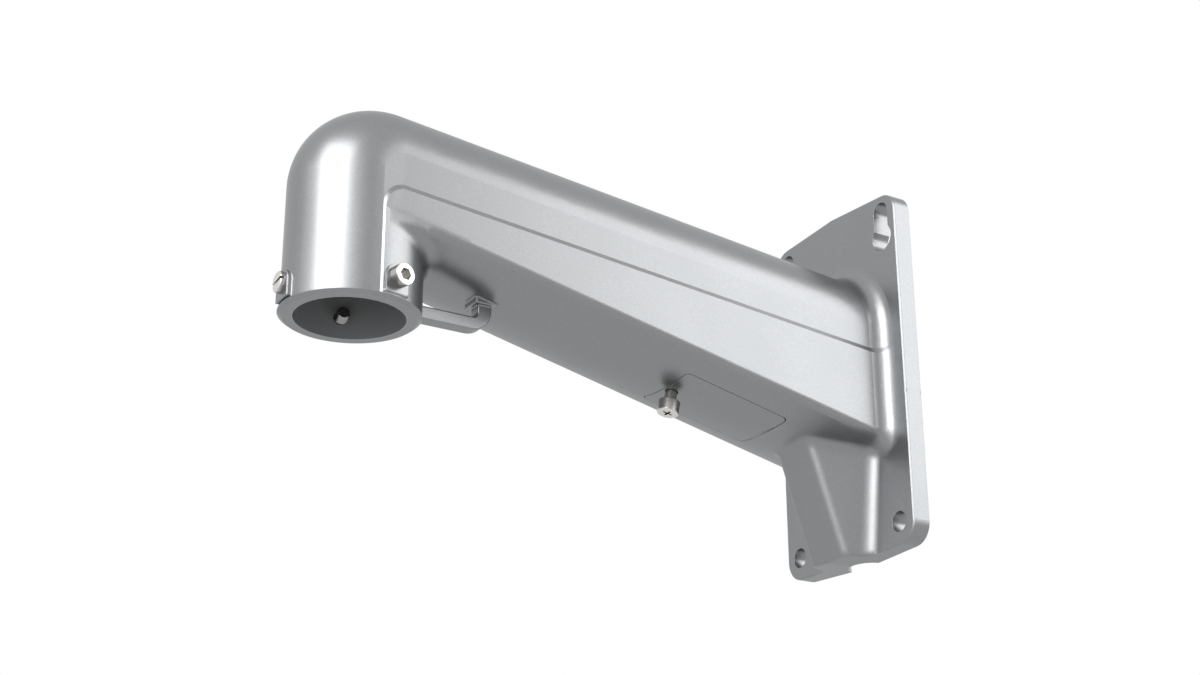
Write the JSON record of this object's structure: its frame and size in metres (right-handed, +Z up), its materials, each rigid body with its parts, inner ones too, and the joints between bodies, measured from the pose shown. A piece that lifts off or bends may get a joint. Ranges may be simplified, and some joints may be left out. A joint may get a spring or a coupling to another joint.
{
  "type": "wall bracket",
  "caption": "Cast aluminium wall arm with a vertical collar for a camera, cable hollow, service cover and safety-rope loop.",
  "frame": {"origin": "middle of the two lower fixing holes, on the wall face", "axes": "+Y into the wall, -Y along the arm to the collar, +Z up, +X to the right for a viewer who faces the wall"},
  "size_m": [0.097, 0.309, 0.1826],
  "materials": {
    "painted_casting": "fine satin silver coating",
    "steel_screws": "plain stainless steel"
  },
  "bodies": {
    "bracket": {"bracket_casting": "painted_casting", "service_cover": "painted_casting", "collar_screw_front": "steel_screws", "collar_screw_right": "steel_screws", "collar_screw_left": "steel_screws"},
    "cover_screw": {"captive_cover_screw": "steel_screws"}
  },
  "joints": [
    {"name": "cover_screw_slide", "type": "slide", "parent": "bracket", "child": "cover_screw", "axis": [0, 0.2176, 0.976], "range_m": [0, 0.0049]}
  ]
}
